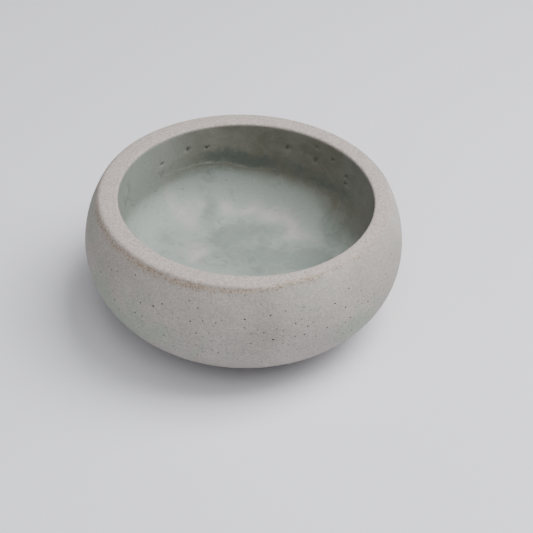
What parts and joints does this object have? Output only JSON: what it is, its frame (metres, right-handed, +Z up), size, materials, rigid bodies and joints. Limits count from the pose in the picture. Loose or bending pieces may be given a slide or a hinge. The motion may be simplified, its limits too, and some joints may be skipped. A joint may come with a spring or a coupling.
{
  "type": "shaving bowl",
  "caption": "Round cast bowl with a wide flat rim, a full belly and a deep rounded hollow for working up shaving lather; stands on stick-on feet.",
  "frame": {"origin": "on the surface that the feet stand on, under the middle of the bowl", "axes": "+Z up along the bowl's axis of revolution, through the mouth; the feet lie on the diagonals between X and Y; -Y is the side nearest to a viewer in front"},
  "size_m": [0.11, 0.11, 0.0464],
  "materials": {
    "cast_concrete": "bare cast concrete, warm grey with pale green bloom, sandy and dull",
    "foot_rubber": "translucent grey silicone, satin"
  },
  "bodies": {
    "root": {"cast_bowl": "cast_concrete", "foot_rear_right": "foot_rubber", "foot_rear_left": "foot_rubber", "foot_front_left": "foot_rubber", "foot_front_right": "foot_rubber"}
  },
  "joints": []
}
